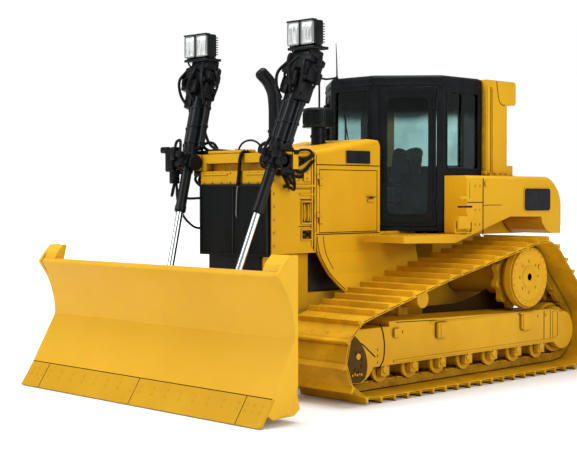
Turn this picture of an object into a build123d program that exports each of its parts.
from build123d import *
import os
from math import asin, atan2, cos, hypot, pi, sin, sqrt

# Crawler bulldozer with a high drive sprocket, wide tracks and a blade that lifts, angles and tilts.
# Millimetres. Forward is -Y, the machine's left is +X, up is +Z.
# The origin is on the ground, at the middle of the overall length.

os.makedirs("parts", exist_ok=True)

gap = 6                       # running gap round doors and between bodies
touch = 0.3                   # gap where curved faces sit on each other

# Track
track_x = 1130                # middle of one track from the machine's middle
shoe_width = 840
link_pitch = 190
shoe_plate = 16
grouser_height = 50
shoe_rise = 60                # pin line to the outer face of the shoe
rail_drop = 45                # pin line to the running face of the rail
rail_x = 85                   # middle of one rail from the middle of the track
rail_width = 60
idler_y = (-1145, 2225)       # front and rear idler
idler_pin_radius = 310
sprocket_y = 1595
sprocket_z = 1030
sprocket_pins = 11
carrier_y = -75
carrier_z = 880
carrier_radius = 90
roller_radius = 100
roller_count = 7

# Track frame
frame_half_width = 220
frame_plate = 70
frame_bottom = 300
frame_top_front = 712
frame_top_rear = 650
frame_front_y = -700
frame_rear_y = 2150
nose_radius = 250

# Main frame and power train
hull_half_width = 380
hull_bottom = 420
hull_top = 940
hull_front_y = -1370
hull_rear_y = 2120
case_front_y = 1150
case_top = 1470
axle_tube_radius = 200
hub_radius = 335
hub_face_x = 1350

# Radiator guard and engine enclosure
guard_half_width = 500
guard_front_y = -1425
guard_rear_y = -815
guard_bottom = 1340
guard_top = 2310
guard_foot_half_width = 385
guard_foot_bottom = 780
grille_top = 2010
grille_bottom = 1130
hood_wall = 30
hood_rear_y = 135
hood_front_top = 2385
hood_rear_top = 2480
door_bottom = 1530
door_top = 2160
engine_door_front_y = -770
engine_door_rear_y = 95

# Cab
cab_floor = 1530
cab_top = 3165
cab_front_y = 245
cab_front_half_width = 300
cab_side_y = 735
cab_half_width = 850
cab_rear_y = 1400
cab_wall = 50
cab_roof = 110
cab_door_thickness = 45
glass_thickness = 10

# Fenders, tank and roll-over frame
fender_x = 1150
fender_inner_x = 620
fender_front_y = -250
platform_bottom = 1415
platform_top = 1500
fender_top = 2110
fender_rear_y = 2510
rops_post_x = (720, 905)
rops_front_y = 1415
rops_rear_y = 1790
rops_top = 3155

# Blade and its frame
blade_half_width = 1740
blade_tip_y = -2755
drawbar_rear_y = 2755
lift_pivot_y = 50
lift_pivot_z = 480
arm_x = (440, 560)
arm_bottom = 375
arm_top = 600
angle_pin_y = -2140
tilt_z = 470
lift_top = (620, -1505, 2230)       # middle of the gimbal that holds the barrel
lift_eye = (440, -1990, 760)
angle_anchor = (640, -1300, 470)
angle_eye = (575, -2235, 470)
tilt_anchor = (-280, -2225, 930)
tilt_eye = (280, -2225, 1010)


def block(low, high, mode=Mode.ADD):
    """A box between two corners, added to the part being built."""
    middle = [(a + b) / 2 for a, b in zip(low, high)]
    size = [b - a for a, b in zip(low, high)]
    with Locations(tuple(middle)):
        Box(*size, mode=mode)


def round_bar(start, end, radius, mode=Mode.ADD):
    """A round bar from one point to another."""
    run = Vector(*end) - Vector(*start)
    with BuildSketch(Plane(origin=start, z_dir=run)) as profile:
        Circle(radius)
    extrude(profile.sketch, amount=run.length, mode=mode)


def flat_sided_bar(start, end, radius, sides, mode=Mode.ADD):
    """A bar of many flat sides from one point to another, its corners on a circle."""
    run = Vector(*end) - Vector(*start)
    with BuildSketch(Plane(origin=start, z_dir=run)) as profile:
        RegularPolygon(radius, sides)
    extrude(profile.sketch, amount=run.length, mode=mode)


def wheel_steps(centre, sides, steps):
    """Coaxial flat-sided discs about a line along X: each step is (from x, to x, radius) from the centre."""
    x, y, z = centre
    for x_from, x_to, radius in steps:
        flat_sided_bar((x + x_from, y, z), (x + x_to, y, z), radius, sides)


def plate_yz(points, x_from, x_to, mode=Mode.ADD):
    """A side-view outline of (y, z) points, carried from one x to another."""
    with BuildSketch(Plane.YZ.offset(x_from)) as profile:
        with BuildLine():
            Polyline(*points, close=True)
        make_face()
    extrude(profile.sketch, amount=x_to - x_from, mode=mode)


def write(name, built):
    built.part.label = name
    export_step(built.part, f"parts/{name}.step")


def mirrored(built):
    """The same piece on the machine's other side."""
    with BuildPart() as other:
        mirror(built.part, about=Plane.YZ)
    return other


# Pin line of one track: it runs rearward on the ground, over the sprocket and back to the front.
ground_to_pin = shoe_rise + grouser_height
idler_z = ground_to_pin + idler_pin_radius
sprocket_pin_radius = link_pitch / (2 * sin(pi / sprocket_pins))
carrier_pin_radius = carrier_radius + rail_drop
pin_wheels = [                # y, z, radius of the pin line round each wheel
    (idler_y[0], idler_z, idler_pin_radius),
    (idler_y[1], idler_z, idler_pin_radius),
    (sprocket_y, sprocket_z, sprocket_pin_radius),
    (carrier_y, carrier_z, carrier_pin_radius),
]


def pin_line():
    """Straight runs and arcs of the pin line, each with its kind and length first."""
    count = len(pin_wheels)
    normals = []
    for i in range(count):
        ya, za, ra = pin_wheels[i]
        yb, zb, rb = pin_wheels[(i + 1) % count]
        span = hypot(yb - ya, zb - za)
        lean = asin((ra - rb) / span)
        normals.append(atan2(zb - za, yb - ya) - pi / 2 + lean)
    pieces = []
    for i in range(count):
        ya, za, ra = pin_wheels[i]
        yb, zb, rb = pin_wheels[(i + 1) % count]
        a = normals[i]
        start = (ya + ra * cos(a), za + ra * sin(a))
        end = (yb + rb * cos(a), zb + rb * sin(a))
        length = hypot(end[0] - start[0], end[1] - start[1])
        pieces.append(("run", length, start, end))
        turn = (normals[(i + 1) % count] - a) % (2 * pi)
        pieces.append(("arc", rb * turn, (yb, zb, rb), a))
    return pieces


def point_at(pieces, distance):
    """The point of the pin line at a distance from its start."""
    for kind, length, first, second in pieces:
        if distance <= length:
            if kind == "run":
                t = distance / length
                return (first[0] + t * (second[0] - first[0]), first[1] + t * (second[1] - first[1]))
            y, z, radius = first
            a = second + distance / radius
            return (y + radius * cos(a), z + radius * sin(a))
        distance -= length
    return pieces[0][2]


line_pieces = pin_line()
line_length = sum(piece[1] for piece in line_pieces)
shoe_count = round(line_length / link_pitch)
pins = [point_at(line_pieces, (k + 0.5) * line_length / shoe_count) for k in range(shoe_count)]


def direction(a, b):
    length = hypot(b[0] - a[0], b[1] - a[1])
    return ((b[0] - a[0]) / length, (b[1] - a[1]) / length)


def beside_pin(k, out):
    """A point out from pin k, where the neighbouring links' lines at that distance meet."""
    t0 = direction(pins[k - 1], pins[k])
    t1 = direction(pins[k], pins[(k + 1) % shoe_count])
    n0 = (t0[1], -t0[0])
    n1 = (t1[1], -t1[0])
    share = out / (1 + n0[0] * n1[0] + n0[1] * n1[1])
    return (pins[k][0] + share * (n0[0] + n1[0]), pins[k][1] + share * (n0[1] + n1[1]))


def along_link(k, forward, out):
    """A point of link k: forward from its first pin, or back from its second where negative."""
    a = pins[k]
    b = pins[(k + 1) % shoe_count]
    t = direction(a, b)
    base = a if forward >= 0 else b
    return (base[0] + t[0] * forward + t[1] * out, base[1] + t[1] * forward - t[0] * out)


shoe_gap = 5
grouser_top = 14
grouser_foot = 26
rail_notch = 20
shoe_outline = []
shoe_inside = []
rail_outside = []
rail_inside = []
for k in range(shoe_count):
    shoe_outline.append(beside_pin(k, shoe_rise - 6))
    shoe_outline.append(along_link(k, shoe_gap, shoe_rise + grouser_height))
    shoe_outline.append(along_link(k, shoe_gap + grouser_top, shoe_rise + grouser_height))
    shoe_outline.append(along_link(k, shoe_gap + grouser_foot, shoe_rise))
    shoe_outline.append(along_link(k, -shoe_gap, shoe_rise))
    shoe_inside.append(beside_pin(k, shoe_rise - shoe_plate))
    rail_outside.append(beside_pin(k, shoe_rise - shoe_plate / 2))
    rail_inside.append(beside_pin(k, -rail_notch))
    rail_inside.append(along_link(k, rail_notch, -rail_drop))
    rail_inside.append(along_link(k, -rail_notch, -rail_drop))


def band(outside, inside, x_from, x_to):
    """A closed band between two outlines in side view, carried across."""
    with BuildSketch(Plane.YZ.offset(x_from)) as profile:
        with BuildLine():
            Polyline(*outside, close=True)
        make_face()
        with BuildLine():
            Polyline(*inside, close=True)
        make_face(mode=Mode.SUBTRACT)
    extrude(profile.sketch, amount=x_to - x_from)


with BuildPart() as track_left:
    band(shoe_outline, shoe_inside, track_x - shoe_width / 2, track_x + shoe_width / 2)
    for side in (-1, 1):
        middle = track_x + side * rail_x
        band(rail_outside, rail_inside, middle - rail_width / 2, middle + rail_width / 2)
write("track_left", track_left)
write("track_right", mirrored(track_left))

# Track frame: a channel beam with side plates that carry the idlers at both ends.
idler_half_width = rail_x + rail_width / 2 + 3
slot_half_width = frame_half_width - frame_plate
roller_z = ground_to_pin + rail_drop + roller_radius
idler_tread = sqrt(idler_pin_radius ** 2 - (link_pitch / 2) ** 2) - rail_drop
rear_nose_radius = 205
frame_outline = [
    (frame_front_y, frame_bottom),
    (frame_rear_y, frame_bottom),
    (frame_rear_y + 60, frame_top_rear - 120),
    (frame_rear_y, frame_top_rear),
    (frame_front_y + 120, frame_top_front),
    (frame_front_y, frame_top_front),
]
pedestal_x = (track_x - slot_half_width - 30, track_x - slot_half_width + 15)
with BuildPart() as track_frame_left:
    x_from = track_x - frame_half_width
    plate_yz(frame_outline, x_from, x_from + 2 * frame_half_width)
    for y, radius in ((idler_y[0], nose_radius), (idler_y[1], rear_nose_radius)):
        round_bar((x_from, y, idler_z), (x_from + 2 * frame_half_width, y, idler_z), radius)
        rear = y > 0
        reach = frame_rear_y if rear else frame_front_y
        low, high = (reach, y) if rear else (y, reach)
        block((x_from, low - 5, frame_bottom), (x_from + 2 * frame_half_width, high + 5,
              idler_z + radius * 0.98))
    idler_clear = idler_tread + 70
    slot = (track_x - slot_half_width, track_x + slot_half_width)
    block((slot[0], idler_y[0] - 400, 0), (slot[1], idler_y[0] + idler_clear, 1000), Mode.SUBTRACT)
    block((slot[0], idler_y[1] - idler_clear, 0), (slot[1], idler_y[1] + 400, 1000), Mode.SUBTRACT)
    block((slot[0], idler_y[0], 0), (slot[1], idler_y[1], frame_bottom + 90), Mode.SUBTRACT)
    block((pedestal_x[0], carrier_y - 70, frame_top_rear), (pedestal_x[1], carrier_y + 70, carrier_z + 50))
    # Guide lugs on the outer face
    for y, z, high in ((-650, 600, 80), (30, 560, 90), (1415, 560, 150)):
        block((track_x + frame_half_width, y, z - high / 2),
              (track_x + frame_half_width + 28, y + 90, z + high / 2))
write("track_frame_left", track_frame_left)
write("track_frame_right", mirrored(track_frame_left))

# Rollers, idlers and carrier rollers of both tracks
roller_first_y = idler_y[0] + 400
roller_last_y = idler_y[1] - 400
flange_radius = roller_radius + 18
axle_block = (slot_half_width + 5, frame_half_width - 8)
roller_sides = 16
idler_sides = 30
hub_sides = 32


def link_reach(k, y, z):
    """Distance from a point to the line between pin k and the next one."""
    t = direction(pins[k], pins[(k + 1) % shoe_count])
    return abs((y - pins[k][0]) * t[1] - (z - pins[k][1]) * t[0])


over_carrier = [k for k in range(shoe_count)
                if hypot(pins[k][0] - carrier_y, pins[k][1] - carrier_z) < 1.6 * link_pitch
                and pins[k][1] > carrier_z]
carrier_tread = min(link_reach(k, carrier_y, carrier_z) for k in over_carrier) - rail_drop - 2 * touch
with BuildPart() as track_roller:
    flat_sided_bar((-axle_block[0], 0, 0), (axle_block[0], 0, 0), 45, 8)
    wheel_steps((0, 0, 0), roller_sides, [
        (1 - slot_half_width, -idler_half_width, flange_radius),
        (-idler_half_width, idler_half_width, roller_radius - touch),
        (idler_half_width, slot_half_width - 1, flange_radius),
    ])
    for end in (-1, 1):
        x_a, x_b = sorted((end * axle_block[0], end * axle_block[1]))
        block((x_a, -58, -52), (x_b, 58, frame_bottom - roller_z))
with BuildPart() as idler:
    wheel_steps((0, 0, 0), idler_sides, [
        (-slot_half_width, slot_half_width, 75),
        (-idler_half_width, idler_half_width, idler_tread - touch),
        (-rail_x + rail_width / 2 + 6, rail_x - rail_width / 2 - 6, idler_tread + 38),
    ])
roller_step = (roller_last_y - roller_first_y) / (roller_count - 1)
with BuildPart() as undercarriage_wheels:
    for side in (-1, 1):
        middle = side * track_x
        with Locations(*[(middle, roller_first_y + k * roller_step, roller_z) for k in range(roller_count)]):
            add(track_roller.part)
        with Locations(*[(middle, y, idler_z) for y in idler_y]):
            add(idler.part)
        inner = side * (pedestal_x[1])
        outer = side * (track_x + idler_half_width)
        wheel_steps((0, carrier_y, carrier_z), roller_sides, [
            (min(inner, outer), max(inner, outer), 40),
            (middle - idler_half_width, middle + idler_half_width, carrier_tread),
        ])
write("undercarriage_wheels", undercarriage_wheels)

# Sprockets: a tooth between each pair of pins, set by a pin on the wrap
wrap_pin = min(pins, key=lambda p: abs(hypot(p[0] - sprocket_y, p[1] - sprocket_z) - sprocket_pin_radius)
               + 1000 * (p[1] < sprocket_z))
pin_angle = atan2(wrap_pin[1] - sprocket_z, wrap_pin[0] - sprocket_y)
tooth_step = 2 * pi / sprocket_pins
tooth_tip = sprocket_pin_radius + 14
tooth_root = sprocket_pin_radius - 34
sprocket_half_width = 34
tooth_points = []
for k in range(sprocket_pins):
    for share, radius in ((-0.11, tooth_root), (0.11, tooth_root), (0.40, tooth_tip), (0.60, tooth_tip)):
        a = pin_angle + (k + share) * tooth_step
        tooth_points.append((sprocket_y + radius * cos(a), sprocket_z + radius * sin(a)))
with BuildPart() as sprockets:
    for side in (-1, 1):
        x_from = side * track_x - sprocket_half_width
        plate_yz(tooth_points, x_from, x_from + 2 * sprocket_half_width)
write("sprockets", sprockets)

# Final drives: a stepped hub that stands out through the chain, with a dished cap
hub_steps = [                 # from x, to x, radius
    (track_x + sprocket_half_width, track_x + idler_half_width + 8, 262),
    (track_x + idler_half_width + 8, hub_face_x - 18, hub_radius),
    (hub_face_x - 18, hub_face_x, hub_radius - 18),
]
with BuildPart() as final_drives:
    for side in (-1, 1):
        for x_a, x_b, radius in hub_steps:
            low, high = sorted((side * x_a, side * x_b))
            flat_sided_bar((low, sprocket_y, sprocket_z), (high, sprocket_y, sprocket_z), radius, hub_sides)
        face = side * hub_face_x
        low, high = sorted((face, face - side * 14))
        flat_sided_bar((low, sprocket_y, sprocket_z), (high, sprocket_y, sprocket_z), hub_radius - 60, hub_sides,
                       Mode.SUBTRACT)
        low, high = sorted((face - side * 16, face - side * 2))
        flat_sided_bar((low, sprocket_y, sprocket_z), (high, sprocket_y, sprocket_z), 120, hub_sides)
write("final_drives", final_drives)

# Main frame: belly and engine rails, the rear case, axle tubes and the stubs that carry the blade's frame
bar_y = (240, 360)
bar_z = (560, 690)
shaft_y = 1080
shaft_z = 560
shaft_radius = 75
hull_outline = [
    (hull_front_y, hull_bottom + 120),
    (hull_front_y + 130, hull_bottom),
    (hull_rear_y - 200, hull_bottom),
    (hull_rear_y, hull_bottom + 180),
    (hull_rear_y, case_top - 120),
    (hull_rear_y - 120, case_top),
    (case_front_y, case_top),
    (case_front_y, hull_top),
    (guard_rear_y, hull_top),
    (guard_rear_y, guard_foot_bottom),
    (hull_front_y, guard_foot_bottom),
]
with BuildPart() as main_frame:
    plate_yz(hull_outline, -hull_half_width, hull_half_width)
    block((-hull_half_width, bar_y[0] - 5, bar_z[0] - 60), (hull_half_width, bar_y[1] + 5, bar_z[1] + 5),
          Mode.SUBTRACT)
    round_bar((-hull_half_width, shaft_y, shaft_z), (hull_half_width, shaft_y, shaft_z), shaft_radius,
              Mode.SUBTRACT)
    for side in (-1, 1):
        low, high = sorted((side * hull_half_width, side * (track_x - sprocket_half_width)))
        round_bar((low, sprocket_y, sprocket_z), (high, sprocket_y, sprocket_z), axle_tube_radius)
        low, high = sorted((side * hull_half_width, side * (arm_x[1] + 15)))
        round_bar((low, lift_pivot_y, lift_pivot_z), (high, lift_pivot_y, lift_pivot_z), 55)
        low, high = sorted((side * hull_half_width, side * (arm_x[0] - gap)))
        round_bar((low, lift_pivot_y, lift_pivot_z), (high, lift_pivot_y, lift_pivot_z), 90)
write("main_frame", main_frame)

# Equalizer bar and pivot shaft join the two track frames under the machine
frame_inner_x = track_x - frame_half_width
with BuildPart() as equalizer_bar:
    bar_ends = [(-frame_inner_x, bar_z[0] + 20), (-250, bar_z[0] - 50), (250, bar_z[0] - 50),
                (frame_inner_x, bar_z[0] + 20), (frame_inner_x, bar_z[1] - 20), (250, bar_z[1]),
                (-250, bar_z[1]), (-frame_inner_x, bar_z[1] - 20)]
    with BuildSketch(Plane.XZ.offset(-bar_y[1])):
        with BuildLine():
            Polyline(*bar_ends, close=True)
        make_face()
    extrude(amount=bar_y[1] - bar_y[0])
write("equalizer_bar", equalizer_bar)

with BuildPart() as pivot_shaft:
    round_bar((-frame_inner_x, shaft_y, shaft_z), (frame_inner_x, shaft_y, shaft_z), shaft_radius - touch)
write("pivot_shaft", pivot_shaft)

# Drawbar at the rear, with its pin bore
drawbar_z = (470, 520)
drawbar_pin_radius = 26
with BuildPart() as drawbar:
    block((-170, hull_rear_y, 560), (170, hull_rear_y + 60, 760))
    block((-150, hull_rear_y + 60, drawbar_z[1]), (150, hull_rear_y + 260, 620))
    block((-150, hull_rear_y + 60, 620), (150, hull_rear_y + 110, 720))
    block((-75, hull_rear_y - 60, drawbar_z[0]), (75, drawbar_rear_y - 75, drawbar_z[1]))
    round_bar((0, drawbar_rear_y - 75, drawbar_z[0]), (0, drawbar_rear_y - 75, drawbar_z[1]), 75)
    round_bar((0, drawbar_rear_y - 75, drawbar_z[0]), (0, drawbar_rear_y - 75, drawbar_z[1]),
              drawbar_pin_radius, Mode.SUBTRACT)
write("drawbar", drawbar)

# Engine as one block, and the radiator core behind its grille
with BuildPart() as engine_block:
    block((-300, guard_rear_y + 90, hull_top), (300, hood_rear_y + 60, 1500))
    block((-230, guard_rear_y + 150, 1500), (230, hood_rear_y - 40, 2050))
write("engine_block", engine_block)

core_y = (guard_front_y + 90, guard_front_y + 330)
with BuildPart() as radiator_core:
    block((-guard_foot_half_width + 40, core_y[0], grille_bottom), (guard_foot_half_width - 40, core_y[1], grille_top))
write("radiator_core", radiator_core)

# Radiator guard: a heavy frame round the core, with the brackets for the lift cylinders' gimbals
guard_wall = 60
yoke_half_width = 92
cheek = 24
bracket_z = (2150, 2310)
with BuildPart() as radiator_guard:
    block((-guard_half_width, guard_front_y, guard_bottom), (guard_half_width, guard_rear_y, guard_top))
    block((-guard_foot_half_width, guard_front_y, guard_foot_bottom),
          (guard_foot_half_width, guard_rear_y, guard_bottom))
    inner = guard_half_width - guard_wall
    block((-inner, guard_front_y, guard_bottom + 40), (inner, guard_rear_y, guard_top - 90), Mode.SUBTRACT)
    inner = guard_foot_half_width - 40
    block((-inner, guard_front_y, grille_bottom), (inner, guard_rear_y, guard_bottom + 40), Mode.SUBTRACT)
    block((-guard_half_width, guard_front_y - 15, grille_top), (guard_half_width, guard_front_y + 60, guard_top - 170))
    # shelf under the core and cross bars that hold it
    block((-guard_half_width + 20, core_y[0], grille_top), (guard_half_width - 20, core_y[1], guard_top - 90))
    for side in (-1, 1):
        x_a, x_b = sorted((side * (guard_half_width - 30), side * (lift_top[0] + yoke_half_width + cheek + 12)))
        block((x_a, guard_front_y + 45, bracket_z[0]), (x_b, guard_front_y + 115, bracket_z[1]))
        for reach in (-yoke_half_width - cheek, yoke_half_width):
            x_a, x_b = sorted((side * (lift_top[0] + reach), side * (lift_top[0] + reach + cheek)))
            block((x_a, lift_top[1], bracket_z[0] + 10), (x_b, guard_front_y + 45, bracket_z[1]))
            round_bar((x_a, lift_top[1], lift_top[2]), (x_b, lift_top[1], lift_top[2]), 72)
            round_bar((x_a, lift_top[1], lift_top[2]), (x_b, lift_top[1], lift_top[2]), 34 + 1, Mode.SUBTRACT)
    # stepped recess on each side with two grab bars, and the open pocket below it
    for side in (-1, 1):
        x_a, x_b = sorted((side * (guard_half_width - 25), side * (guard_half_width + 1)))
        for y_a, y_b, z_a, z_b in ((-1010, -900, 1640, 1830), (-1010, -880, 1480, 1560)):
            block((x_a, y_a, z_a), (x_b, y_b, z_b), Mode.SUBTRACT)
write("radiator_guard", radiator_guard)

# Grille: a frame with two columns of louvre slots
grille_half_width = guard_half_width - 12
slot_rows = 16
with BuildPart() as grille:
    block((-grille_half_width, guard_front_y - 28, guard_bottom - 20), (grille_half_width, guard_front_y, grille_top))
    block((-guard_foot_half_width + 20, guard_front_y - 28, grille_bottom - 40),
          (guard_foot_half_width - 20, guard_front_y, guard_bottom - 20))
    pitch = (grille_top - guard_bottom - 60) / slot_rows
    for column in (-1, 1):
        for row in range(slot_rows):
            z = guard_bottom + 40 + row * pitch
            x_a, x_b = sorted((column * 25, column * (grille_half_width - 45)))
            block((x_a, guard_front_y - 30, z), (x_b, guard_front_y + 1, z + pitch * 0.55), Mode.SUBTRACT)
write("grille", grille)

# Hood over the engine, with its doorways, and the lower side panels
hinge_radius = 12
hinge_height = 60
engine_hinge_x = guard_half_width + hinge_radius + 2
engine_hinge_z = (door_bottom + 96, door_top - 156)
hood_outline = [
    (guard_rear_y, hood_front_top - 40),
    (hood_rear_y - 150, hood_rear_top),
    (hood_rear_y - 30, hood_rear_top - 10),
    (hood_rear_y, hood_rear_top - 70),
    (hood_rear_y, door_bottom),
    (guard_rear_y, door_bottom),
]
with BuildPart() as hood:
    plate_yz(hood_outline, -guard_half_width, guard_half_width)
    shoulders = hood.edges().filter_by(lambda e: abs(e.center().X) > guard_half_width - 1
                                       and e.center().Z > door_top + 100 and e.length > 700)
    fillet(shoulders, radius=60)
    inner = guard_half_width - hood_wall
    hollow = [
        (guard_rear_y - 1, hood_front_top - 90),
        (hood_rear_y - 150, hood_rear_top - 60),
        (hood_rear_y - 30, hood_rear_top - 90),
        (hood_rear_y - 30, door_bottom - 1),
        (guard_rear_y - 1, door_bottom - 1),
    ]
    plate_yz(hollow, -inner, inner, Mode.SUBTRACT)
    block((-guard_half_width - 1, engine_door_front_y, door_bottom - 1),
          (guard_half_width + 1, engine_door_rear_y, door_top), Mode.SUBTRACT)
    # fixed hinge knuckles above those of the doors
    for side in (-1, 1):
        for z in engine_hinge_z:
            foot = z + hinge_height + touch
            knuckle = (side * engine_hinge_x, engine_door_front_y, foot)
            round_bar(knuckle, (knuckle[0], knuckle[1], foot + 40), hinge_radius)
            x_a, x_b = sorted((side * (guard_half_width - 2), side * engine_hinge_x))
            block((x_a, guard_rear_y, foot), (x_b, engine_door_front_y, foot + 40))
write("hood", hood)

panel_flare = 150
with BuildPart() as side_panels:
    for side in (-1, 1):
        sections = [          # z, outer x
            (door_bottom, guard_half_width),
            (1330, guard_half_width + 18),
            (1120, guard_half_width + 70),
            (950, guard_half_width + panel_flare),
        ]
        outer = [(side * x, z) for z, x in sections]
        inside = [(side * (x - 30), z) for z, x in reversed(sections)]
        with BuildSketch(Plane.XZ.offset(-700)):
            with BuildLine():
                Polyline(*outer, *inside, close=True)
            make_face()
        extrude(amount=700 - guard_rear_y)
        # the front edge sweeps back as it goes down, to let the blade's arms rise
        x_a, x_b = sorted((side * 400, side * 800))
        with BuildSketch(Plane.YZ.offset(x_a)):
            with BuildLine():
                l1 = Line((guard_rear_y - 10, door_bottom - 120), (guard_rear_y - 10, 900))
                l2 = Line(l1 @ 1, (-520, 900))
                l3 = Line(l2 @ 1, (-570, 960))
                ThreePointArc(l3 @ 1, (-745, 1210), l1 @ 0)
            make_face()
        extrude(amount=x_b - x_a, mode=Mode.SUBTRACT)
write("side_panels", side_panels)

# Engine doors, hung at their front edge
engine_door_plate = [engine_door_front_y + gap, engine_door_rear_y - gap, door_bottom + gap, door_top - gap]
with BuildPart() as engine_door_left:
    y_a, y_b, z_a, z_b = engine_door_plate
    block((guard_half_width - hood_wall, y_a, z_a), (guard_half_width, y_b, z_b))
    fillet(engine_door_left.faces().sort_by(Axis.X)[-1].edges(), radius=6)
    for z in engine_hinge_z:
        round_bar((engine_hinge_x, engine_door_front_y, z),
                  (engine_hinge_x, engine_door_front_y, z + hinge_height), hinge_radius)
        block((guard_half_width - 2, engine_door_front_y, z),
              (engine_hinge_x - 2, y_a + 45, z + hinge_height))
    block((guard_half_width - 1, y_b - 150, 1836), (guard_half_width + 14, y_b - 50, 1862))
write("engine_door_left", engine_door_left)
write("engine_door_right", mirrored(engine_door_left))

# Exhaust stack: straight up from the hood, curved forward and inward to a mouth cut upright
stack_x = 150
stack_y = -1030
stack_radius = 72
stack_wall = 8
stack_sides = 24
stack_run = [                 # points of the pipe's middle line, foot to mouth
    (stack_x, stack_y, guard_top), (stack_x, stack_y, 2790), (stack_x - 8, stack_y - 22, 2920),
    (stack_x - 30, stack_y - 80, 3040), (stack_x - 66, stack_y - 175, 3140),
]
with BuildPart() as exhaust_stack:
    for radius, mode in ((stack_radius, Mode.ADD), (stack_radius - stack_wall, Mode.SUBTRACT)):
        with BuildLine() as stack_path:
            Polyline(*stack_run)
        with BuildSketch(Plane(origin=stack_run[0], z_dir=(0, 0, 1))) as pipe_section:
            RegularPolygon(radius, stack_sides)
        sweep(pipe_section.sketch, path=stack_path.line, transition=Transition.RIGHT, mode=mode)
    flat_sided_bar(stack_run[0], (stack_x, stack_y, guard_top + 90), stack_radius + 22, stack_sides)
    flat_sided_bar(stack_run[0], (stack_x, stack_y, guard_top + 91), stack_radius - stack_wall, stack_sides,
                   Mode.SUBTRACT)
    block((stack_x - 300, stack_run[-1][1] - 200, 3000), (stack_x + 300, stack_run[-1][1] + 22, 3400),
          Mode.SUBTRACT)
write("exhaust_stack", exhaust_stack)

# Air pre-cleaner on its stem, on the hood
precleaner_y = -265
precleaner_foot = 2400
with BuildPart() as precleaner:
    round_bar((0, precleaner_y, precleaner_foot), (0, precleaner_y, 2615), 75)
    plate_yz(hood_outline, -200, 200, Mode.SUBTRACT)
    with BuildSketch(Plane.XY.offset(2605)):
        with Locations((0, precleaner_y)):
            Circle(160)
    extrude(amount=200)
    chamfer(precleaner.faces().sort_by(Axis.Z)[-1].edges(), length=18)
write("precleaner", precleaner)

# Cab: a six-sided shell with its front corners cut back for the doors
cab_plan = [
    (-cab_front_half_width, cab_front_y), (cab_front_half_width, cab_front_y),
    (cab_half_width, cab_side_y), (cab_half_width, cab_rear_y),
    (-cab_half_width, cab_rear_y), (-cab_half_width, cab_side_y),
]
door_run = hypot(cab_half_width - cab_front_half_width, cab_side_y - cab_front_y)
door_u = ((cab_half_width - cab_front_half_width) / door_run, (cab_side_y - cab_front_y) / door_run)
door_plane = Plane(origin=(cab_front_half_width, cab_front_y, 0), x_dir=(door_u[0], door_u[1], 0),
                   z_dir=(door_u[1], -door_u[0], 0))
doorway = (65, door_run - 65, cab_floor + 40, cab_top - 120)     # along the wall from, to, z from, to


def wall_box(plane, along, high, deep, mode=Mode.ADD):
    """A box on a wall: along its run, up its height, and out from its outer face."""
    middle = ((along[0] + along[1]) / 2, (high[0] + high[1]) / 2)
    with BuildSketch(plane.offset(deep[0])) as profile:
        with Locations(middle):
            Rectangle(along[1] - along[0], high[1] - high[0])
    extrude(profile.sketch, amount=deep[1] - deep[0], mode=mode)


door_hinge_u = doorway[1] - gap / 2
door_hinge_out = hinge_radius + 3
cab_hinge_height = 70
cab_hinge_z = (cab_floor + 220, cab_top - 360)
windscreen = ((-235, 235), (2330, 3010))
side_window = ((cab_side_y + 70, cab_rear_y - 60), (2190, 2990))
rear_window = ((-560, 560), (2230, 2960))
with BuildPart() as cab_shell:
    with BuildSketch(Plane.XY.offset(cab_floor)):
        with BuildLine():
            Polyline(*cab_plan, close=True)
        make_face()
    extrude(amount=cab_top - cab_floor)
    fillet(cab_shell.faces().sort_by(Axis.Z)[-1].edges(), radius=45)
    with BuildSketch(Plane.XY.offset(cab_floor + cab_wall)):
        with BuildLine():
            Polyline(*cab_plan, close=True)
        make_face()
        offset(amount=-cab_wall, kind=Kind.INTERSECTION, mode=Mode.REPLACE)
    extrude(amount=cab_top - cab_roof - cab_floor - cab_wall, mode=Mode.SUBTRACT)
    block((windscreen[0][0], cab_front_y - 10, windscreen[1][0]),
          (windscreen[0][1], cab_front_y + cab_wall + 10, windscreen[1][1]), Mode.SUBTRACT)
    block((-cab_half_width - 10, side_window[0][0], side_window[1][0]),
          (cab_half_width + 10, side_window[0][1], side_window[1][1]), Mode.SUBTRACT)
    block((rear_window[0][0], cab_rear_y - cab_wall - 10, rear_window[1][0]),
          (rear_window[0][1], cab_rear_y + 10, rear_window[1][1]), Mode.SUBTRACT)
    for side in (-1, 1):
        # on the right the plane's own up points down, so its heights change sign
        plane = Plane(origin=(side * cab_front_half_width, cab_front_y, 0),
                      x_dir=(side * door_u[0], door_u[1], 0), z_dir=(side * door_u[1], -door_u[0], 0))
        high = sorted((side * doorway[2], side * doorway[3]))
        wall_box(plane, doorway[:2], high, (-cab_wall - 30, 10), Mode.SUBTRACT)
        for z in cab_hinge_z:
            foot = z + cab_hinge_height + touch
            knuckle = plane.from_local_coords((door_hinge_u, side * foot, door_hinge_out))
            round_bar((knuckle.X, knuckle.Y, foot), (knuckle.X, knuckle.Y, foot + 50), hinge_radius)
            wall_box(plane, (door_hinge_u, doorway[1] + 40), sorted((side * foot, side * (foot + 50))),
                     (-1, door_hinge_out))
write("cab_shell", cab_shell)

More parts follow.
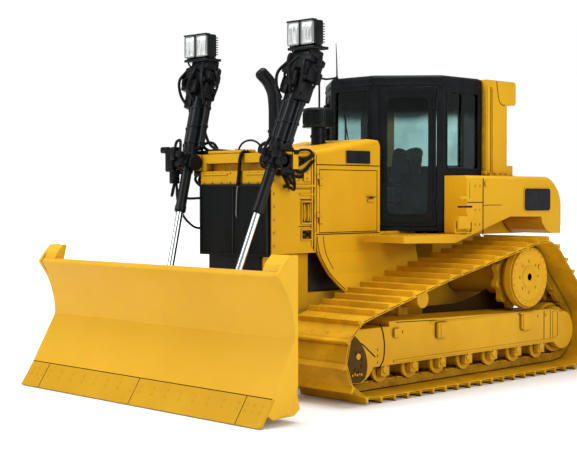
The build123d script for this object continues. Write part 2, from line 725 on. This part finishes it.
with BuildPart() as cab_glass:
    g = glass_thickness
    x_a, x_b = windscreen[0]
    block((x_a, cab_front_y + 18, windscreen[1][0]), (x_b, cab_front_y + 18 + g, windscreen[1][1]))
    for side in (-1, 1):
        x_a, x_b = sorted((side * (cab_half_width - 18), side * (cab_half_width - 18 - g)))
        block((x_a, side_window[0][0], side_window[1][0]), (x_b, side_window[0][1], side_window[1][1]))
    x_a, x_b = rear_window[0]
    block((x_a, cab_rear_y - 18 - g, rear_window[1][0]), (x_b, cab_rear_y - 18, rear_window[1][1]))
write("cab_glass", cab_glass)

# Cab doors, hung at their rear edge, each with a tall window
door_panel = (doorway[0] + gap, doorway[1] - gap, doorway[2] + gap, doorway[3] - gap)
pane = (door_panel[0] + 80, door_panel[1] - 80, 1700, door_panel[3] - 110)
with BuildPart() as cab_door_left:
    wall_box(door_plane, (door_panel[0], door_panel[1]), (door_panel[2], door_panel[3]), (-cab_door_thickness, 0))
    with BuildSketch(door_plane.offset(-cab_door_thickness - 1)):
        with Locations(((pane[0] + pane[1]) / 2, (pane[2] + pane[3]) / 2)):
            RectangleRounded(pane[1] - pane[0], pane[3] - pane[2], 60)
    extrude(amount=cab_door_thickness + 2, mode=Mode.SUBTRACT)
    for z in cab_hinge_z:
        knuckle = door_plane.from_local_coords((door_hinge_u, z, door_hinge_out))
        round_bar((knuckle.X, knuckle.Y, z), (knuckle.X, knuckle.Y, z + cab_hinge_height), hinge_radius)
        wall_box(door_plane, (door_panel[1] - 40, door_hinge_u), (z, z + cab_hinge_height), (-1, door_hinge_out))
    # grab handle by the free edge
    wall_box(door_plane, (door_panel[0] + 22, door_panel[0] + 42), (2050, 2330), (30, 45))
    for z in (2050, 2315):
        wall_box(door_plane, (door_panel[0] + 22, door_panel[0] + 42), (z, z + 15), (-1, 31))
write("cab_door_left", cab_door_left)
write("cab_door_right", mirrored(cab_door_left))

with BuildPart() as door_glass_left:
    with BuildSketch(door_plane.offset(-cab_door_thickness / 2 - glass_thickness / 2)):
        with Locations(((pane[0] + pane[1]) / 2, (pane[2] + pane[3]) / 2)):
            RectangleRounded(pane[1] - pane[0], pane[3] - pane[2], 60)
    extrude(amount=glass_thickness)
write("door_glass_left", door_glass_left)
write("door_glass_right", mirrored(door_glass_left))

# Seat and consoles on the cab floor
inside_floor = cab_floor + cab_wall
seat_y = 900
with BuildPart() as seat:
    block((-180, seat_y - 150, inside_floor), (180, seat_y + 170, inside_floor + 260))
    block((-260, seat_y - 260, inside_floor + 260), (260, seat_y + 230, inside_floor + 400))
    with BuildSketch(Plane.YZ.offset(-250)):
        with BuildLine():
            Polyline((seat_y + 150, inside_floor + 380), (seat_y + 270, inside_floor + 380),
                     (seat_y + 360, inside_floor + 1080), (seat_y + 250, inside_floor + 1080), close=True)
        make_face()
    extrude(amount=500)
write("seat", seat)

with BuildPart() as console:
    for side in (-1, 1):
        x_a, x_b = sorted((side * 300, side * 470))
        block((x_a, seat_y - 200, inside_floor), (x_b, seat_y + 330, inside_floor + 560))
        round_bar((side * 385, seat_y - 130, inside_floor + 560), (side * 385, seat_y - 170, inside_floor + 720), 22)
    block((-200, cab_front_y + cab_wall, inside_floor), (200, cab_front_y + 190, inside_floor + 740))
write("console", console)

# Fenders: step beside the door, box beside the cab, and the rounded rear part
fender_outline = [
    (fender_front_y, platform_bottom + 15), (560, platform_bottom), (1514, 1675), (2100, 1668),
    (2120, 1600), (2200, 1520), (2290, 1480), (fender_rear_y, 1478),
]
rear_round = 330
with BuildPart() as fender_left:
    with BuildSketch(Plane.YZ.offset(fender_inner_x)):
        with BuildLine():
            low = Polyline(*fender_outline)
            rise = Line(low @ 1, (fender_rear_y, fender_top - rear_round))
            turn = RadiusArc(rise @ 1, (fender_rear_y - rear_round, fender_top), -rear_round)
            back = Line(turn @ 1, (cab_side_y + 15, fender_top))
            Polyline(back @ 1, (cab_side_y + 15, platform_top), (fender_front_y, platform_top), low @ 0)
        make_face()
    extrude(amount=fender_x - fender_inner_x)
    block((fender_inner_x - 1, fender_front_y - 1, platform_top),
          (cab_half_width + 8, cab_rear_y + 8, fender_top + 1), Mode.SUBTRACT)
    block((guard_half_width + 20, hood_rear_y + 20, platform_bottom + 25), (fender_inner_x, cab_rear_y, platform_top))
    outer = fender_left.edges().filter_by(lambda e: e.center().X > fender_x - 1
                                          and e.center().Z > fender_top - rear_round / 2)
    chamfer(outer, length=30)
    block((fender_x - 2, 560, 1560), (fender_x + 45, 760, 1690))
write("fender_left", fender_left)
write("fender_right", mirrored(fender_left))

# Fuel tank between the fenders
with BuildPart() as fuel_tank:
    block((-fender_inner_x, cab_rear_y + 12, case_top), (fender_inner_x, fender_rear_y, fender_top + 20))
    fillet(fuel_tank.edges().filter_by(Axis.X).sort_by(lambda e: e.center().Y + e.center().Z)[-1], radius=200)
write("fuel_tank", fuel_tank)

# Roll-over frame: two posts, the beam across and the hood at its rear
beam_z = (2895, rops_top)
with BuildPart() as rops:
    for side in (-1, 1):
        x_a, x_b = sorted((side * rops_post_x[0], side * rops_post_x[1]))
        block((x_a, rops_front_y, fender_top), (x_b, rops_rear_y, rops_top))
        block((x_a, rops_rear_y, fender_top), (x_b, rops_rear_y + 110, fender_top + 120))
    block((-rops_post_x[0], rops_front_y + 60, 3000), (rops_post_x[0], rops_rear_y, rops_top))
    block((-rops_post_x[1], rops_rear_y - 40, beam_z[0]), (rops_post_x[1], rops_rear_y + 165, beam_z[1]))
    fillet(rops.edges().filter_by(Axis.X).filter_by(lambda e: e.center().Y > rops_rear_y + 100
                                                   and e.center().Z > beam_z[0] - 1), radius=40)
write("rops", rops)

# Blade frame: two arms from the main frame, a cross box and the nose that holds the angle pin
cross_y = (-1950, -1720)
nose_half_width = 130
hub_gap = (tilt_z - 90, tilt_z + 90)
eye_half_gap = 95
ear_ring = 72
ear_thickness = 24
angle_link_radius = 18        # pin of an angle cylinder in its bracket
with BuildPart() as c_frame:
    for side in (-1, 1):
        x_a, x_b = sorted((side * arm_x[0], side * arm_x[1]))
        arm = [(lift_pivot_y, lift_pivot_z - 95), (lift_pivot_y, lift_pivot_z + 95), (-500, arm_top - 20),
               (cross_y[1], arm_top), (cross_y[1], arm_bottom), (-500, arm_bottom)]
        plate_yz(arm, x_a, x_b)
        round_bar((x_a, lift_pivot_y, lift_pivot_z), (x_b, lift_pivot_y, lift_pivot_z), 110)
        round_bar((x_a, lift_pivot_y, lift_pivot_z), (x_b, lift_pivot_y, lift_pivot_z), 55 + 1, Mode.SUBTRACT)
    with BuildSketch(Plane.XY.offset(arm_bottom)):
        with BuildLine():
            Polyline((-arm_x[1], cross_y[1]), (-480, cross_y[0]),
                     (-nose_half_width, angle_pin_y + 60), (nose_half_width, angle_pin_y + 60),
                     (480, cross_y[0]), (arm_x[1], cross_y[1]), close=True)
        make_face()
        with Locations((0, angle_pin_y)):
            Circle(nose_half_width - 15)
    extrude(amount=arm_top - arm_bottom)
    block((-nose_half_width - 30, angle_pin_y - 200, hub_gap[0] - gap), (nose_half_width + 30, angle_pin_y + 115,
          hub_gap[1] + gap), Mode.SUBTRACT)
    round_bar((0, angle_pin_y, arm_bottom - 15), (0, angle_pin_y, arm_top + 20), 50)
    for side in (-1, 1):
        for reach in (-eye_half_gap - ear_thickness, eye_half_gap):
            x_a = side * lift_eye[0] + reach
            ear = [(lift_eye[1] + ear_ring, lift_eye[2]), (lift_eye[1] + 220, arm_top), (cross_y[0], arm_top),
                   (lift_eye[1] - ear_ring, lift_eye[2])]
            plate_yz(ear, x_a, x_a + ear_thickness)
            round_bar((x_a, lift_eye[1], lift_eye[2]), (x_a + ear_thickness, lift_eye[1], lift_eye[2]), ear_ring)
        for reach in (-eye_half_gap - ear_thickness - 14, eye_half_gap + ear_thickness):
            x_a = side * lift_eye[0] + reach
            round_bar((x_a, lift_eye[1], lift_eye[2]), (x_a + 14, lift_eye[1], lift_eye[2]), 45)
        # brackets for the angle cylinders' rear eyes
        x_a, x_b = sorted((side * arm_x[1], side * (angle_anchor[0] + 30)))
        for z_a, z_b in ((angle_anchor[2] - 62, angle_anchor[2] - 42), (angle_anchor[2] + 42, angle_anchor[2] + 62)):
            block((x_a, angle_anchor[1] - 45, z_a), (x_b, angle_anchor[1] + 45, z_b))
        round_bar((side * angle_anchor[0], angle_anchor[1], angle_anchor[2] - 62),
                  (side * angle_anchor[0], angle_anchor[1], angle_anchor[2] + 62), angle_link_radius)
write("c_frame", c_frame)

# Swing yoke: a hub on the angle pin, an arm across behind the blade and a tower for the tilt cylinder
yoke_arm_y = (-2290, -2205)
yoke_arm_z = (tilt_z - 65, tilt_z + 65)
tilt_pin_radius = 70
tilt_pin_length = 50
tilt_link_radius = 20         # pin of the tilt cylinder in the tower
tower_x = (tilt_anchor[0] - 30, tilt_anchor[0] + 60)
tower_top = tilt_anchor[2] + 60
tower_rear = yoke_arm_y[1] + 40
with BuildPart() as blade_yoke:
    round_bar((0, angle_pin_y, hub_gap[0]), (0, angle_pin_y, hub_gap[1]), 98)
    block((-98, yoke_arm_y[1], hub_gap[0]), (98, angle_pin_y, hub_gap[1]))
    round_bar((0, angle_pin_y, hub_gap[0] - 1), (0, angle_pin_y, hub_gap[1] + 1), 50 + touch, Mode.SUBTRACT)
    block((-angle_eye[0] - 60, yoke_arm_y[0], yoke_arm_z[0]), (angle_eye[0] + 60, yoke_arm_y[1], yoke_arm_z[1]))
    round_bar((0, yoke_arm_y[0] - tilt_pin_length, tilt_z), (0, yoke_arm_y[0], tilt_z), tilt_pin_radius)
    # tower with two cheeks for the tilt cylinder
    block((tower_x[0], yoke_arm_y[0], yoke_arm_z[1]), (tower_x[1], yoke_arm_y[0] + 20, tower_top))
    block((tower_x[0], yoke_arm_y[1] + 22, yoke_arm_z[1] - 20), (tower_x[1], tower_rear, tower_top))
    block((tower_x[0], yoke_arm_y[0], yoke_arm_z[1] - 20), (tower_x[1], tower_rear, yoke_arm_z[1] + 200))
    round_bar((tilt_anchor[0], yoke_arm_y[0], tilt_anchor[2]), (tilt_anchor[0], tower_rear, tilt_anchor[2]),
              tilt_link_radius)
    # forks for the angle cylinders' eyes, open to the rear and at the arm's end
    for side in (-1, 1):
        x_a, x_b = sorted((side * (angle_eye[0] - 75), side * (angle_eye[0] + 61)))
        block((x_a, yoke_arm_y[0] + 15, angle_eye[2] - 36), (x_b, yoke_arm_y[1] + 1, angle_eye[2] + 36),
              Mode.SUBTRACT)
write("blade_yoke", blade_yoke)

# Blade: a moldboard, flat below its crease and curved above, with raised ends, box beams and ribs on its back
mold_front = [                # y, z of the working face: foot, crease, middle of the upper curve, top tip
    (-2606, 236), (-2348, 700), (-2396, 979), (-2533, 1227),
]
mold_thickness = 24
blade_top = 1270
ear_width = 230
ear_top = 1405
edge_lift = 8                 # tip of the cutting edge above the ground at rest
edge_thickness = 28
edge_run = (mold_front[0][0] - blade_tip_y, mold_front[0][1] - edge_lift)
edge_across = (edge_run[1] / hypot(*edge_run), -edge_run[0] / hypot(*edge_run))


def behind_foot(depth, z=None):
    """A point behind the moldboard's foot, square to the cutting edge, or down along it to a height."""
    y_foot = mold_front[0][0] + depth * edge_across[0]
    z_foot = mold_front[0][1] + depth * edge_across[1]
    if z is None:
        return (y_foot, z_foot)
    return (y_foot + (z - z_foot) * edge_run[0] / edge_run[1], z)


mid_foot = behind_foot(mold_thickness / 2)
mid_crease = (mold_front[1][0] + mold_thickness / 2, mold_front[1][1])
mid_curve = (mold_front[2][0] + mold_thickness / 2, mold_front[2][1])
mid_top = (mold_front[3][0] + mold_thickness / 2, mold_front[3][1])
far_front = -3000
with BuildPart() as blade:
    # lower box behind the cutting edge, and the upper beam
    lower_box = [behind_foot(edge_thickness), (-2562, 290), (-2500, 400), (-2300, 300), (-2260, 110), (-2330, 60),
                 (-2600, 60), behind_foot(edge_thickness, 102)]
    plate_yz(lower_box, -blade_half_width + 30, blade_half_width - 30)
    upper_box = [(-2530, 1235), (-2395, 1235), (-2365, 1120), (-2390, 1030), (-2440, 1030)]
    plate_yz(upper_box, -blade_half_width + 30, blade_half_width - 30)
    # ribs, and the boss plate that turns on the yoke
    for x in (-1300, -950, 950, 1300):
        rib = [(-2420, 250), (-2530, 380), (-2430, 560), (-2350, 700), (-2385, 900), (-2440, 1060), (-2385, 1060),
               (-2310, 900), (-2310, 250)]
        plate_yz(rib, x - 15, x + 15)
    boss_rear = yoke_arm_y[0] - gap - 2
    boss = [(-2560, 300), (boss_rear, 330), (boss_rear, 620), (-2325, 760), (-2350, 760), (-2372, 640)]
    plate_yz(boss, -190, 190)
    # keep only what stands behind the middle of the moldboard's plate
    with BuildSketch(Plane.YZ.offset(-blade_half_width)):
        with BuildLine():
            Line(mid_foot, mid_crease)
            ThreePointArc(mid_crease, mid_curve, mid_top)
            Polyline(mid_top, (far_front, mid_top[1]), (far_front, mid_foot[1]), mid_foot)
        make_face()
    extrude(amount=2 * blade_half_width, mode=Mode.SUBTRACT)
    with BuildSketch(Plane.YZ.offset(-blade_half_width)):
        with BuildLine():
            Line(mold_front[0], mold_front[1])
            ThreePointArc(mold_front[1], mold_front[2], mold_front[3])
            lip = Line(mold_front[3], (mold_front[3][0] + 20, blade_top))
            top = Line(lip @ 1, (mold_front[3][0] + 50, blade_top))
            rear = ThreePointArc(top @ 1, (mold_front[2][0] + mold_thickness + 2, mold_front[2][1]),
                                 (mold_front[1][0] + mold_thickness, mold_front[1][1]))
            Polyline(rear @ 1, behind_foot(2 * edge_thickness), mold_front[0])
        make_face()
    extrude(amount=2 * blade_half_width)
    round_bar((0, yoke_arm_y[0] - tilt_pin_length - 2, tilt_z), (0, boss_rear + 1, tilt_z), tilt_pin_radius + touch,
              Mode.SUBTRACT)
    # end plates with the raised ears
    end_plate = [mold_front[0], (-2508, 395), (-2338, 700), (-2345, 800), (-2415, 1050), (-2545, 1240),
                 (-2475, 1330), (-2385, ear_top), (-2310, ear_top), (-2310, 300), (-2400, 90), (-2600, 60),
                 behind_foot(edge_thickness, 102), behind_foot(edge_thickness)]
    for side in (-1, 1):
        x_a, x_b = sorted((side * blade_half_width, side * (blade_half_width - 40)))
        plate_yz(end_plate, x_a, x_b)
        x_a, x_b = sorted((side * blade_half_width, side * (blade_half_width - ear_width)))
        ear = [(-2505, blade_top - 10), (-2475, 1330), (-2400, ear_top), (-2360, ear_top), (-2400, blade_top - 40)]
        plate_yz(ear, x_a, x_b)
    # bracket for the tilt cylinder's rod
    for y in (tilt_eye[1] - 58, tilt_eye[1] + 38):
        block((tilt_eye[0] - 15, y, tilt_eye[2] - 60), (tilt_eye[0] + 95, y + 20, tilt_eye[2] + 60))
    cheek_root = [(-2374, tilt_eye[2] - 60), (-2420, tilt_eye[2] + 60), (tilt_eye[1] + 58, tilt_eye[2] + 60),
                  (tilt_eye[1] + 58, tilt_eye[2] - 60)]
    plate_yz(cheek_root, tilt_eye[0] + 75, tilt_eye[0] + 95)
write("blade", blade)

# Cutting edge: two long bits and two end bits, face to face
edge_section = [mold_front[0], (blade_tip_y, edge_lift), behind_foot(edge_thickness, edge_lift),
                behind_foot(edge_thickness)]
bit_ends = [(-blade_half_width, -1440), (-1440, 0), (0, 1440), (1440, blade_half_width)]
with BuildPart() as cutting_edge:
    for x_a, x_b in bit_ends:
        plate_yz(edge_section, x_a + 1, x_b - 1)
write("cutting_edge", cutting_edge)

# Lift cylinders: gimbal ring, barrel and rod
lift_run = Vector(*lift_eye) - Vector(*lift_top)
lift_length = lift_run.length
lift_dir = lift_run.normalized()
lift_cross = lift_dir.cross(Vector(1, 0, 0)).normalized()
barrel_radius = 66
barrel_nose_radius = 52       # below the gimbal
rod_radius = 34
barrel_above = 990
barrel_below = 512
eye_radius = 58
head_block = (300, 190)


def along_lift(distance):
    """A point of the lift cylinder's line, from the gimbal down towards the rod's eye."""
    spot = Vector(*lift_top) + lift_dir * distance
    return (spot.X, spot.Y, spot.Z)


ring_inner = barrel_radius + 9
trunnion_radius = 25


def cross_pin(reach, radius, mode=Mode.ADD):
    """A pin across the gimbal, square to the cylinder, on which the barrel swings in its ring."""
    start = Vector(*lift_top) - lift_cross * reach
    end = Vector(*lift_top) + lift_cross * reach
    round_bar((start.X, start.Y, start.Z), (end.X, end.Y, end.Z), radius, mode)


with BuildPart() as lift_yoke_left:
    ring_plane = Plane(origin=lift_top, x_dir=lift_dir.cross(lift_cross), z_dir=lift_dir * -1)
    with BuildSketch(ring_plane.offset(-45)):
        Rectangle(2 * ring_inner + 10, 2 * ring_inner + 36)
        Rectangle(2 * ring_inner - 4, 2 * ring_inner, mode=Mode.SUBTRACT)
    extrude(amount=90)
    for side in (-1, 1):
        reach = ring_inner - 4
        low, high = sorted((side * reach, side * (yoke_half_width + cheek - 2)))
        round_bar((lift_top[0] + low, lift_top[1], lift_top[2]), (lift_top[0] + high, lift_top[1], lift_top[2]), 34)
    spin = Vector(*lift_top)
    for side in (-1, 1):
        a = spin + lift_cross * (side * (ring_inner + 17))
        b = spin + lift_cross * (side * (ring_inner + 34))
        round_bar((a.X, a.Y, a.Z), (b.X, b.Y, b.Z), 40)
    c = spin - lift_dir * 60
    d = spin + lift_dir * 60
    round_bar((c.X, c.Y, c.Z), (d.X, d.Y, d.Z), ring_inner - 3, Mode.SUBTRACT)
    cross_pin(ring_inner + 40, trunnion_radius + touch, Mode.SUBTRACT)
write("lift_yoke_left", lift_yoke_left)
write("lift_yoke_right", mirrored(lift_yoke_left))

with BuildPart() as lift_barrel_left:
    round_bar(along_lift(-barrel_above), along_lift(60), barrel_radius)
    round_bar(along_lift(60), along_lift(barrel_below), barrel_nose_radius)
    round_bar(along_lift(barrel_below - 50), along_lift(barrel_below), barrel_nose_radius + 5)
    cross_pin(ring_inner + 30, trunnion_radius)
    # valve block at the head
    with BuildSketch(Plane(origin=along_lift(-barrel_above + 150), x_dir=(1, 0, 0), z_dir=lift_dir * -1)) as head:
        Rectangle(*head_block)
    extrude(head.sketch, amount=190)
    # an oil tube on each side of the barrel
    side_way = lift_dir.cross(lift_cross) * -1
    for offset, tube_radius in ((105, 30), (-122, 34)):
        t1 = spin - lift_dir * (barrel_above - 20) - lift_cross * 20 + side_way * offset
        t2 = spin - lift_dir * 150 - lift_cross * 20 + side_way * offset
        round_bar((t1.X, t1.Y, t1.Z), (t2.X, t2.Y, t2.Z), tube_radius)
        e = t2 - side_way * (offset - 5)
        round_bar((t2.X, t2.Y, t2.Z), (e.X, e.Y, e.Z), 24)
    round_bar(along_lift(-barrel_above + 170), along_lift(barrel_below + 1), rod_radius + touch, Mode.SUBTRACT)
write("lift_barrel_left", lift_barrel_left)
write("lift_barrel_right", mirrored(lift_barrel_left))

rod_inside = 420              # length of rod inside the barrel above its mouth
with BuildPart() as lift_rod_left:
    round_bar(along_lift(barrel_below - rod_inside), along_lift(lift_length - eye_radius + 10), rod_radius)
    round_bar((lift_eye[0] - 30, lift_eye[1], lift_eye[2]), (lift_eye[0] + 30, lift_eye[1], lift_eye[2]), eye_radius)
write("lift_rod_left", lift_rod_left)
write("lift_rod_right", mirrored(lift_rod_left))

# Work lamps on a bracket at the top of each lift cylinder
lamp_top = Vector(*along_lift(-barrel_above - 40))
with BuildPart() as work_lamps_left:
    x, y, z = lamp_top.X, lamp_top.Y, lamp_top.Z
    with BuildSketch(Plane(origin=lamp_top, x_dir=(1, 0, 0), z_dir=lift_dir * -1)):
        Rectangle(250, 180)
    extrude(amount=90)
    block((x - 150, y - 120, z + 70), (x + 190, y + 100, z + 112))
    for dx in (-75, 105):
        block((x + dx - 84, y - 110, z + 111), (x + dx + 84, y + 60, z + 350))
write("work_lamps_left", work_lamps_left)
write("work_lamps_right", mirrored(work_lamps_left))

# Angle cylinders between the blade frame's arms and the swing yoke
angle_run = Vector(*angle_eye) - Vector(*angle_anchor)
angle_length = angle_run.length
angle_dir = angle_run.normalized()
angle_barrel_radius = 35
angle_rod_radius = 25
angle_barrel_length = 610


def along_angle(distance):
    spot = Vector(*angle_anchor) + angle_dir * distance
    return (spot.X, spot.Y, spot.Z)


eye_height = 34
with BuildPart() as angle_barrel_left:
    x, y, z = angle_anchor
    round_bar((x, y, z - eye_height), (x, y, z + eye_height), 44)
    round_bar(along_angle(30), along_angle(angle_barrel_length), angle_barrel_radius)
    round_bar(along_angle(80), along_angle(angle_barrel_length + 1), angle_rod_radius + touch, Mode.SUBTRACT)
    round_bar((x, y, z - 40), (x, y, z + 40), angle_link_radius + touch, Mode.SUBTRACT)
write("angle_barrel_left", angle_barrel_left)
write("angle_barrel_right", mirrored(angle_barrel_left))

with BuildPart() as angle_rod_left:
    x, y, z = angle_eye
    round_bar(along_angle(angle_barrel_length - 290), along_angle(angle_length - 25), angle_rod_radius)
    round_bar((x, y, z - 30), (x, y, z + 30), 32)
write("angle_rod_left", angle_rod_left)
write("angle_rod_right", mirrored(angle_rod_left))

# Tilt cylinder between the yoke's tower and the blade's back
tilt_run = Vector(*tilt_eye) - Vector(*tilt_anchor)
tilt_length = tilt_run.length
tilt_dir = tilt_run.normalized()
tilt_barrel_length = 350


def along_tilt(distance):
    spot = Vector(*tilt_anchor) + tilt_dir * distance
    return (spot.X, spot.Y, spot.Z)


with BuildPart() as tilt_barrel:
    x, y, z = tilt_anchor
    round_bar((x, y - 30, z), (x, y + 30, z), 42)
    round_bar(along_tilt(30), along_tilt(tilt_barrel_length), 37)
    round_bar(along_tilt(80), along_tilt(tilt_barrel_length + 1), 24 + touch, Mode.SUBTRACT)
    round_bar((x, y - 50, z), (x, y + 50, z), tilt_link_radius + touch, Mode.SUBTRACT)
write("tilt_barrel", tilt_barrel)

with BuildPart() as tilt_rod:
    x, y, z = tilt_eye
    round_bar(along_tilt(tilt_barrel_length - 170), along_tilt(tilt_length - 25), 24)
    round_bar((x, y - 28, z), (x, y + 28, z), 38)
write("tilt_rod", tilt_rod)
